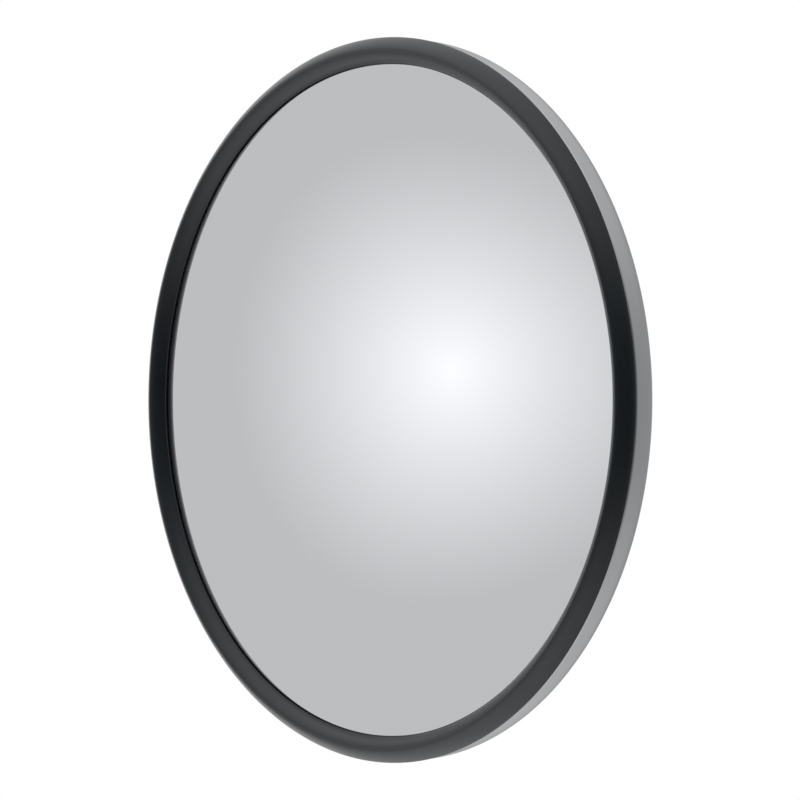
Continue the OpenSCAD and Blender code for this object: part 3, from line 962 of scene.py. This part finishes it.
class MIRROR_OT_rim(bpy.types.Operator):
    """Make the rubber rim, cut to length and joined end to end"""

    bl_idname = "mirror_head.rim"
    bl_label = "Rubber Rim"

    def execute(self, context):
        head = context.scene.mirror_head
        rim = head.rim
        steps = 540
        half_gap = rim.splice_gap / rim.diameter
        start = rim.splice + half_gap
        sweep = FULL_TURN - 2 * half_gap
        mesh = turned("rim", rim_section(head), steps, start, sweep, cut_ends=True)
        place("rim_gasket", mesh, material_named(extruded_rubber, head.colours), RUBBER_SHARP)
        return {"FINISHED"}


def shell_section(head):
    """The drawn bowl's wall, from the flange round the outside to the boss and back inside."""
    shell = head.shell
    front = flange_y(head)
    sheet = shell.sheet
    flange = glass_edge(head) + head.rim.web
    skirt = skirt_radius(head)
    bend_at = (skirt - shell.front_bend, front + shell.front_bend)
    corner_at = (skirt - shell.corner, front + shell.skirt)
    # The boss is the flat that the cap's seal lies on, and the dome's radius follows from its height
    boss_y = front_y("cap_seal")
    height = boss_y + shell.boss_drop - corner_at[1]
    dome = (corner_at[0] ** 2 + height**2 - shell.corner**2) / (2 * (height - shell.corner))
    dome_at = (0, corner_at[1] + height - dome)
    boss_arm = dome - shell.boss_bend
    boss_flat = math.sqrt(boss_arm**2 - (boss_arm - shell.boss_drop) ** 2)
    boss_at = (boss_flat, boss_y - shell.boss_bend)
    dome_from = math.degrees(math.atan2(corner_at[1] - dome_at[1], corner_at[0]))
    dome_to = math.degrees(math.atan2(boss_at[1] - dome_at[1], boss_at[0]))
    dome_steps = 40
    bend_steps = 8
    boss_steps = 6
    edge_round = sheet / 4
    points = [(flange, front + edge_round), (flange + edge_round, front)]
    points += arc(bend_at, shell.front_bend, -90, 0, bend_steps)
    points += arc(corner_at, shell.corner, 0, dome_from)
    points += arc(dome_at, dome, dome_from, dome_to, dome_steps)[1:]
    points += arc(boss_at, shell.boss_bend, dome_to, 90, boss_steps)[1:]
    points += [(shell.hub, boss_y), (shell.hub, boss_y - sheet)]
    points += arc(boss_at, shell.boss_bend - sheet, 90, dome_to, boss_steps)
    points += arc(dome_at, dome - sheet, dome_to, dome_from, dome_steps)[1:]
    points += arc(corner_at, shell.corner - sheet, dome_from, 0)[1:]
    points += arc(bend_at, shell.front_bend - sheet, 0, -90, bend_steps)
    points += [(flange + edge_round, front + sheet), (flange, front + sheet - edge_round)]
    return points


class MIRROR_OT_shell(bpy.types.Operator):
    """Make the drawn steel bowl with its drain hole"""

    bl_idname = "mirror_head.shell"
    bl_label = "Back Shell"

    def execute(self, context):
        head = context.scene.mirror_head
        shell = head.shell
        mesh = turned("shell", shell_section(head))
        clean(mesh)
        skirt = skirt_radius(head)
        hole_y = flange_y(head) + (shell.front_bend + shell.skirt) / 2
        drain = rod(shell.drain / 2, -skirt - shell.sheet, -skirt + 2 * shell.sheet)
        # The rod stands along Y, so it is turned to point down through the skirt
        for vertex in drain.vertices:
            x, y, z = vertex.co
            vertex.co = (x, hole_y + z, y)
        clean(drain)
        mesh = cut_by(mesh, [drain])
        place("back_shell", mesh, material_named(drawn_stainless, head.colours))
        return {"FINISHED"}


class MIRROR_OT_inner_pieces(bpy.types.Operator):
    """Finish the pieces inside the shell, whose CAD shapes are kept"""

    bl_idname = "mirror_head.inner_pieces"
    bl_label = "Inner Pieces"

    def execute(self, context):
        finishes = {
            "reinforcing_plate": zinc_plate, "weld_nuts": zinc_plate, "spring_housing": zinc_plate,
            "pressure_cup": oiled_steel, "disc_springs": blackened_spring_steel,
            "ball_liner": natural_nylon
        }
        for node, finish in finishes.items():
            paint(node, material_named(finish, context.scene.mirror_head.colours))
        return {"FINISHED"}


def cap_outline(head, inset=0.0):
    """Radius of the cap's outline at each even step round: a disc with three round-ended tabs."""
    mount = head.mount
    reach = head.fasteners.circle
    half = mount.cap_tab / 2 - inset
    disc = mount.cap_flange - inset
    # Radius of the soft corner between disc and tab
    soft = 0.6 * MM
    radii = []
    for i in range(LARGE_STEPS):
        off = (FULL_TURN * i / LARGE_STEPS - FULL_TURN / 4) % (FULL_TURN / 3)
        off = min(off, FULL_TURN / 3 - off)
        tab = 0.0
        if off < math.atan2(half, reach):
            tab = reach * math.cos(off) + math.sqrt(half**2 - (reach * math.sin(off)) ** 2)
        elif off < FULL_TURN / 4:
            tab = half / math.sin(off)
        high = max(disc, tab)
        low = min(disc, tab)
        radii.append(high + soft * math.exp(-(high - low) / soft))
    return radii


def screw_holes(head, low, high):
    """Cutters for the three screw holes through the cap and its seal."""
    fasteners = head.fasteners
    hole = fasteners.screw / 2 + 0.2 * MM
    cutters = []
    for i in range(3):
        angle = FULL_TURN / 4 + FULL_TURN * i / 3
        x = fasteners.circle * math.cos(angle)
        z = fasteners.circle * math.sin(angle)
        cutters.append(rod(hole, low - MM, high + MM, x, z))
    return cutters


def cap_mesh(head, low, high):
    """The pressed cap: half a socket, a fillet, and a flat with three tabs."""
    mount = head.mount
    centre = ball_y(head)
    inner = half_width("ball_liner") + 0.05 * MM
    outer = inner + high - low
    fillet = mount.cap_fillet
    soft = mount.cap_edge
    opening = math.degrees(mount.opening)
    bowl_steps = 18

    # The bowl's outside, down from the opening to where the fillet takes over
    fillet_y = high + fillet - centre
    fillet_r = math.sqrt((outer + fillet) ** 2 - fillet_y**2)
    leaves = math.degrees(math.atan2(fillet_y, fillet_r))
    profile = arc((0, centre), outer - soft, 90 - opening, 90 - opening, 1)[:1]
    profile += arc((0, centre), outer, 89 - opening, leaves, bowl_steps)
    profile += arc((fillet_r, centre + fillet_y), fillet, 180 + leaves, 270, 6)[1:]
    rings = [ring(r, y, LARGE_STEPS) for r, y in profile]
    # The flat's rounded edge, as how far in and at which y
    edge = [
        (soft, high), (soft * 0.3, high - soft * 0.3), (0, high - soft), (0, low + soft), (soft, low)
    ]
    rings += [polar(cap_outline(head, inset), y) for inset, y in edge]
    rings.append(ring(inner, low, LARGE_STEPS))
    inside = arc((0, centre), inner, 0, 90 - opening, bowl_steps)
    rings += [ring(r, y, LARGE_STEPS) for r, y in inside]
    return skinned("cap", rings, loop=True)


def seal_mesh(head, low, high):
    """The flat seal under the cap, with the cap's outline."""
    soft = head.mount.cap_edge
    hub = head.shell.hub
    rings = [
        ring(hub, high, LARGE_STEPS), polar(cap_outline(head, soft), high),
        polar(cap_outline(head), high - soft), polar(cap_outline(head), low),
        ring(hub, low, LARGE_STEPS)
    ]
    return skinned("seal", rings, loop=True)


class MIRROR_OT_cap(bpy.types.Operator):
    """Make the pressed socket cap and the seal under it"""

    bl_idname = "mirror_head.cap"
    bl_label = "Socket Cap and Seal"

    def execute(self, context):
        head = context.scene.mirror_head
        low = front_y("socket_cap")
        high = rear_y("clamp_lock_washers") - head.fasteners.washer
        cap = cap_mesh(head, low, high)
        seal = seal_mesh(head, front_y("cap_seal"), low)
        holes = screw_holes(head, low, high)
        for node, mesh, finish in (
            ("socket_cap", cap, pressed_stainless), ("cap_seal", seal, cut_seal_rubber)
        ):
            clean(mesh)
            place(node, cut_by(mesh, holes), material_named(finish, head.colours))
        return {"FINISHED"}


def split_washer(name, inner, outer, y0, y1, split, count=SMALL_STEPS):
    """A lock washer: a ring with one slanted cut, its outer corners slightly rounded."""
    soft = 0.12 * (y1 - y0)
    section = [
        (inner, y0 + soft), (inner + soft, y0), (outer - soft, y0), (outer, y0 + soft),
        (outer, y1 - soft), (outer - soft, y1), (inner + soft, y1), (inner, y1 - soft)
    ]
    slant = math.tan(math.radians(20))
    middle = (inner + outer) / 2
    half = split / 2 / middle
    rings = []
    for i in range(count + 1):
        angle = half + (FULL_TURN - 2 * half) * i / count
        points = []
        for r, y in section:
            a = angle + slant * (y - (y0 + y1) / 2) / middle
            points.append((r * math.cos(a), y, r * math.sin(a)))
        rings.append(points)
    return skinned(name, rings)


def screw_mesh(head):
    """One clamp screw along Y, its head's washer face on the lock washer."""
    fasteners = head.fasteners
    top = rear_y("clamp_screws")
    seat = top - fasteners.screw_head
    tip = front_y("clamp_screws")
    count = SMALL_STEPS
    # Cold-headed screws have a shallow dish in the head
    dish = fasteners.screw_flats * 0.36
    sunk = 0.45 * MM
    rings = [ring(0.0, seat, count)]
    rings += hex_rings(fasteners.screw_flats, seat, top, count)
    rings.append(ring(dish, top, count))
    rings.append(ring(dish - sunk, top - sunk, count))
    rings.append(ring(0.0, top - sunk * 1.2, count))
    pitch = fasteners.screw_pitch
    height = 0.6 * pitch
    base = fasteners.screw / 2 - height
    buried = 0.2 * MM
    thread = threaded(
        "screw thread", tip, seat - tip + buried, pitch, base, height, closing=0.0, lead_in=pitch
    )
    return joined("clamp screw", [skinned("screw head", rings), thread])


def rivet_mesh(head):
    """One rivet along Y: domed head on the boss, shank, and a clinched tail inside."""
    fasteners = head.fasteners
    rise = fasteners.rivet_dome
    top = rear_y("plate_rivets")
    tail = front_y("plate_rivets")
    tail_seat = front_y("reinforcing_plate") - head.mount.housing_sheet
    dome_r = fasteners.rivet_head
    sphere = (dome_r**2 + rise**2) / (2 * rise)
    spread = math.degrees(math.asin(dome_r / sphere))
    shank = fasteners.rivet / 2
    points = arc((0, top - sphere), sphere, 90, 90 - spread, 10)
    points += [
        (dome_r - 0.05 * MM, top - rise), (shank, top - rise), (shank, tail_seat),
        (shank * 1.55, tail_seat), (shank * 1.25, tail), (0, tail)
    ]
    return turned("rivet", points, SMALL_STEPS)


class MIRROR_OT_fasteners(bpy.types.Operator):
    """Make the clamp screws, their lock washers and the rivets"""

    bl_idname = "mirror_head.fasteners"
    bl_label = "Screws and Rivets"

    def execute(self, context):
        head = context.scene.mirror_head
        fasteners = head.fasteners
        bright = material_named(nickel_bright, head.colours)
        zinc = material_named(zinc_plate, head.colours)
        circle = fasteners.circle
        up = FULL_TURN / 4
        loose = fasteners.loose_turn
        screws = circled(screw_mesh(head), 3, circle, up, loose, seed=3)
        place("clamp_screws", screws, bright, HEX_SHARP)

        seat = rear_y("clamp_screws") - fasteners.screw_head
        bore = fasteners.screw / 2 + 0.1 * MM
        outer = 0.9 * fasteners.screw
        low = seat - fasteners.washer
        washer = split_washer("clamp washer", bore, outer, low, seat, fasteners.split, 48)
        washers = circled(washer, 3, circle, up, 3 * loose, seed=5)
        place("clamp_lock_washers", washers, zinc)

        rivets = circled(rivet_mesh(head), 3, circle, up - FULL_TURN / 6, 0.0, seed=1)
        place("plate_rivets", rivets, bright)
        return {"FINISHED"}


class MIRROR_OT_dust_cover(bpy.types.Operator):
    """Make the dished cover over the socket's opening"""

    bl_idname = "mirror_head.dust_cover"
    bl_label = "Dust Cover"

    def execute(self, context):
        head = context.scene.mirror_head
        centre = ball_y(head)
        span = math.degrees(head.mount.cover_span)
        outer = half_width("dust_cover") / math.sin(head.mount.cover_span)
        wall = 1.0 * MM
        inner = outer - wall
        bore = head.mount.neck / 2 + 0.07 * MM
        collar = bore + 1.6 * MM
        collar_y = rear_y("dust_cover")
        soft = 0.25 * MM
        fillet = 0.8 * MM
        bore_from = math.degrees(math.asin(bore / inner))
        collar_from = math.degrees(math.asin((collar + fillet) / outer))
        steps = 20
        points = arc((0, centre), inner, 90 - span, 90 - bore_from, steps)
        points += [(bore, collar_y - soft), (bore + soft, collar_y)]
        points += [(collar - soft, collar_y), (collar, collar_y - soft)]
        points.append((collar, centre + outer * math.cos(math.radians(collar_from)) + fillet))
        # The rim's outer edge stops a degree short, and its face is drawn out in the middle of the wall
        points += arc((0, centre), outer, 90 - collar_from, 91 - span, steps)
        points += arc((0, centre), (outer + inner) / 2, 89.4 - span, 89.4 - span, 1)[:1]
        mesh = turned("dust cover", points, 180)
        place("dust_cover", mesh, material_named(moulded_polypropylene, head.colours))
        return {"FINISHED"}


def stud_section(head, groove_end):
    """Half the stud's outline: ball, neck with its fillet, plain shank and thread run-out."""
    mount = head.mount
    ball = mount.ball / 2
    neck = mount.neck / 2
    fillet = mount.neck_fillet
    shank = mount.shank / 2
    shank_end = front_y("flat_washer")
    shoulder_y = shoulder_front()
    points = arc((0, ball_y(head)), ball, -90, math.degrees(math.acos(neck / ball)), 36)
    points += arc((neck + fillet, shoulder_y - fillet), fillet, 180, 90, 4)
    bevel = 0.3 * MM
    slope = 0.4 * MM
    points += [
        (shank - bevel, shoulder_y), (shank, shoulder_y + bevel), (shank, shank_end - 0.2 * MM),
        (mount.runout + 0.1 * MM, shank_end), (mount.runout, shank_end + 0.1 * MM),
        (mount.runout, groove_end), (mount.runout - bevel, groove_end + slope), (0, groove_end + slope)
    ]
    return points


class MIRROR_OT_stud(bpy.types.Operator):
    """Make the ball stud: ball, neck, hex shoulder, shank and thread"""

    bl_idname = "mirror_head.stud"
    bl_label = "Ball Stud"

    def execute(self, context):
        head = context.scene.mirror_head
        mount = head.mount
        groove_end = front_y("flat_washer") + 1.0 * MM
        body = turned("stud body", stud_section(head, groove_end), SMALL_STEPS)
        count = 180
        shoulder_y = shoulder_front()
        rings = [ring(0.0, shoulder_y, count)]
        rings += hex_rings(mount.shoulder_flats, shoulder_y, 0.0, count, FULL_TURN / 12)
        rings.append(ring(0.0, 0.0, count))
        shoulder = skinned("shoulder", rings)
        pitch = mount.pitch
        height = 0.6 * pitch
        base = mount.shank / 2 - 0.06 * MM - height
        reach = rear_y("ball_stud") - groove_end
        thread = threaded(
            "stud thread", groove_end, reach, pitch, base, height, closing=0.0, lead_in=0.9 * pitch
        )
        mesh = joined("stud", [body, shoulder, thread])
        place("ball_stud", mesh, material_named(zinc_plate, head.colours), HEX_SHARP)
        return {"FINISHED"}


def flat_washer_mesh(head):
    """A punched washer: one face's edge drawn round, the other sharp."""
    low = front_y("flat_washer")
    high = rear_y("flat_washer")
    outer = half_width("flat_washer")
    bore = head.mount.shank / 2 + 0.4 * MM
    drawn = 0.35 * MM
    sharp = 0.1 * MM
    burr = 0.15 * MM
    points = [(bore, low), (outer - sharp, low), (outer, low + sharp)]
    points += arc((outer - drawn, high - drawn), drawn, 0, 90, 5)
    points += [(bore + burr, high), (bore, high - burr)]
    return turned("flat washer", points, 144)


def nut_mesh(head):
    """The hex nut, countersunk at both ends and threaded."""
    mount = head.mount
    low = front_y("hex_nut")
    high = rear_y("hex_nut")
    count = 144
    bore = mount.shank / 2 + 0.1 * MM
    sink = 0.5 * MM
    rings = [ring(bore + sink, low, count)]
    rings += hex_rings(mount.nut_flats, low, high, count)
    rings.append(ring(bore + sink, high, count))
    rings.append(ring(bore, high - sink, count))
    rings.append(ring(bore, low + sink, count))
    pitch = mount.pitch
    base = bore + 0.02 * MM
    closing = bore + 0.6 * MM
    ridges = threaded(
        "nut thread", low + sink / 2, high - low - sink, pitch, base, -0.55 * pitch, closing,
        0.8 * pitch
    )
    return joined("nut", [skinned("nut body", rings, loop=True), ridges])


class MIRROR_OT_nut(bpy.types.Operator):
    """Make the stud's nut and its two washers"""

    bl_idname = "mirror_head.nut"
    bl_label = "Nut and Washers"

    def execute(self, context):
        head = context.scene.mirror_head
        zinc = material_named(zinc_plate, head.colours)
        place("flat_washer", flat_washer_mesh(head), zinc)

        bore = head.mount.shank / 2 + 0.2 * MM
        outer = half_width("lock_washer")
        low = front_y("lock_washer")
        high = rear_y("lock_washer")
        washer = split_washer("lock washer", bore, outer, low, high, head.fasteners.split)
        place("lock_washer", washer, zinc)
        place("hex_nut", nut_mesh(head), zinc, HEX_SHARP)
        return {"FINISHED"}


def level(azimuth):
    """The level direction at an azimuth in degrees, to the right of the glass's front."""
    turned_by = math.radians(azimuth)
    return Vector((math.sin(turned_by), -math.cos(turned_by), 0.0))


def facing(tree, look, azimuth):
    """How nearly a look points to an azimuth: 1 straight at it, 0 square to it, as a socket."""
    ahead = add(tree, "ShaderNodeVectorMath", {0: look, 1: level(azimuth)}, operation="DOT_PRODUCT")
    return ahead.outputs["Value"]


def mirrored_card(tree, look, up):
    """What the polished glass mirrors: a grey card, and on it an ellipse of soft light."""
    card = 0.644
    glow = 0.61
    glow_azimuth = -42
    glow_height = 0.02
    glow_wide = 0.313
    glow_tall = 0.155
    falloff = 1.2

    side = facing(tree, look, glow_azimuth + 90)
    wide = add(tree, "ShaderNodeMath", {0: side, 1: glow_wide}, operation="DIVIDE")
    rise = add(tree, "ShaderNodeMath", {0: up, 1: glow_height}, operation="SUBTRACT")
    tall = add(tree, "ShaderNodeMath", {0: rise, 1: glow_tall}, operation="DIVIDE")
    spot = add(tree, "ShaderNodeCombineXYZ", {"X": wide, "Y": tall})
    far = add(tree, "ShaderNodeVectorMath", {0: spot}, operation="LENGTH")
    near = add(
        tree, "ShaderNodeMath", {0: 1.0, 1: far.outputs["Value"]}, operation="SUBTRACT", use_clamp=True
    )
    eased = add(tree, "ShaderNodeMath", {0: near, 1: falloff}, operation="POWER")
    shining = add(tree, "ShaderNodeMath", {0: eased, 1: glow}, operation="MULTIPLY")
    # The ellipse has a twin straight opposite, which stays dark
    ahead = facing(tree, look, glow_azimuth)
    in_front = add(tree, "ShaderNodeMath", {0: ahead, 1: 0.0}, operation="GREATER_THAN")
    return add(tree, "ShaderNodeMath", {0: shining, 1: in_front, 2: card}, operation="MULTIPLY_ADD")


def world_light(tree):
    """Studio surroundings: grey behind, dark in front, bright above and below, and one soft glow."""
    coordinates = add(tree, "ShaderNodeTexCoord")
    look = coordinates.outputs["Generated"]
    parts = add(tree, "ShaderNodeSeparateXYZ", {"Vector": look})
    up = parts.outputs["Z"]

    # Dark in front, where the camera stands, and grey behind
    grey = 0.45
    dark = 0.07
    towards_dark = facing(tree, look, 50)
    around = add(
        tree, "ShaderNodeMapRange",
        {"Value": towards_dark, "From Min": 0.2, "From Max": 0.95, "To Min": grey, "To Max": dark},
        interpolation_type="SMOOTHSTEP"
    )

    # Diffusers above and below, brightest in front on the left
    steep = add(tree, "ShaderNodeMath", {0: up}, operation="ABSOLUTE")
    diffuser = add(
        tree, "ShaderNodeMapRange",
        {"Value": steep, "From Min": 0.2, "From Max": 0.85, "To Min": 0.0, "To Max": 0.5},
        interpolation_type="SMOOTHSTEP"
    )
    towards_lit = facing(tree, look, -37)
    lit = add(
        tree, "ShaderNodeMapRange",
        {"Value": towards_lit, "From Min": -0.5, "From Max": 0.3, "To Min": 0.5, "To Max": 1.6}
    )
    surroundings = add(
        tree, "ShaderNodeMath", {0: diffuser, 1: lit, 2: around}, operation="MULTIPLY_ADD"
    )

    # Two lit panels on the left: a sheen along the rim's crest, and a light line on its far edge
    for azimuth, edge, strength in ((-48, 0.85, 0.6), (-105, 0.8, 0.8)):
        towards_panel = facing(tree, look, azimuth)
        panel = add(
            tree, "ShaderNodeMapRange", {"Value": towards_panel, "From Min": edge, "To Max": strength},
            interpolation_type="SMOOTHSTEP"
        )
        surroundings = add(tree, "ShaderNodeMath", {0: surroundings, 1: panel}, operation="ADD")

    path = add(tree, "ShaderNodeLightPath")
    studio = add(
        tree, "ShaderNodeMix",
        {0: path.outputs["Is Singular Ray"], 2: surroundings, 3: mirrored_card(tree, look, up)},
        data_type="FLOAT"
    )
    white = 1.0
    seen = add(
        tree, "ShaderNodeMix", {0: path.outputs["Is Camera Ray"], 2: studio, 3: white},
        data_type="FLOAT"
    )
    background = add(tree, "ShaderNodeBackground", {"Color": (1.0, 1.0, 1.0, 1.0), "Strength": seen})
    add(tree, "ShaderNodeOutputWorld", {"Surface": background})


def soft_light(name, azimuth, elevation, distance, width, height, watts, target):
    """A soft box that faces the target from an azimuth and elevation in degrees."""
    lamp = bpy.data.lights.new(name, "AREA")
    lamp.shape = "RECTANGLE"
    lamp.size = width
    lamp.size_y = height
    lamp.energy = watts
    box = in_scene(name, lamp)
    raised = math.radians(elevation)
    out = level(azimuth) * math.cos(raised) + Vector((0, 0, math.sin(raised)))
    box.location = target + distance * out
    box.rotation_euler = out.to_track_quat("Z", "Y").to_euler()
    return box


def lay_floor(head):
    """The round, matt white floor, which no polished piece mirrors."""
    stage = head.stage
    count = 96
    mesh = bpy.data.meshes.new("floor")
    edge = [(x, z, y) for x, y, z in ring(stage.floor_radius, -stage.floor_drop, count)]
    mesh.from_pydata(edge, [], [list(range(count))])
    clean(mesh)
    material, tree = new_material("Paper, matt white")
    end_material(material, tree, {"Base Color": (*head.colours.floor, 1), "Roughness": 0.9})
    mesh.materials.append(material)
    floor = in_scene("studio_floor", mesh)
    floor.visible_glossy = False


def set_camera(head, centre):
    """The camera, level with the glass and seen from so far away that nothing converges."""
    stage = head.stage
    azimuth = math.degrees(stage.azimuth)
    out = level(azimuth)
    target = centre + level(azimuth + 90) * stage.aim_right
    data = bpy.data.cameras.new("camera")
    data.type = "ORTHO"
    data.ortho_scale = stage.view_width
    camera = in_scene("camera", data)
    camera.location = target + out * stage.distance
    camera.rotation_euler = out.to_track_quat("Z", "Y").to_euler()
    bpy.context.scene.camera = camera


class MIRROR_OT_stage(bpy.types.Operator):
    """Make the floor, the soft studio light and the camera"""

    bl_idname = "mirror_head.stage"
    bl_label = "Stage"

    def execute(self, context):
        scene = context.scene
        head = scene.mirror_head
        centre = Vector((0, flange_y(head), 0))
        lay_floor(head)

        world = bpy.data.worlds.new("studio")
        world.use_nodes = True
        world.node_tree.nodes.clear()
        world_light(world.node_tree)
        scene.world = world
        key = soft_light(
            "key_box", -30, 35, distance=1.6, width=1.0, height=0.7, watts=4, target=centre
        )
        key.visible_glossy = False

        set_camera(head, centre)
        scene.view_settings.view_transform = "Standard"
        return {"FINISHED"}


class MIRROR_PT_panel(bpy.types.Panel):
    """Lists the pieces of the mirror head"""

    bl_idname = "MIRROR_PT_panel"
    bl_label = "Mirror Head"
    bl_space_type = "VIEW_3D"
    bl_region_type = "UI"
    bl_category = "Mirror Head"

    def draw(self, context):
        for operator in OPERATORS:
            self.layout.operator(operator.bl_idname)


GROUPS = (
    RimSizes, GlassSizes, ShellSizes, MountSizes, FastenerSizes, FinishColours, StageSettings,
    MirrorHead
)

OPERATORS = (
    MIRROR_OT_glass, MIRROR_OT_rim, MIRROR_OT_shell, MIRROR_OT_inner_pieces, MIRROR_OT_cap,
    MIRROR_OT_fasteners, MIRROR_OT_dust_cover, MIRROR_OT_stud, MIRROR_OT_nut, MIRROR_OT_stage
)


def register():
    for item in (*GROUPS, *OPERATORS, MIRROR_PT_panel):
        bpy.utils.register_class(item)
    bpy.types.Scene.mirror_head = bpy.props.PointerProperty(
        type=MirrorHead, name="Mirror Head", description="Sizes and colours of the mirror head"
    )


def unregister():
    del bpy.types.Scene.mirror_head
    for item in reversed((*GROUPS, *OPERATORS, MIRROR_PT_panel)):
        bpy.utils.unregister_class(item)


def main():
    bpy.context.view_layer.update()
    register()
    for operator in OPERATORS:
        group, name = operator.bl_idname.split(".")
        result = getattr(getattr(bpy.ops, group), name)()
        if "FINISHED" not in result:
            raise RuntimeError(operator.bl_idname + " did not finish")


if __name__ == "__main__":
    main()
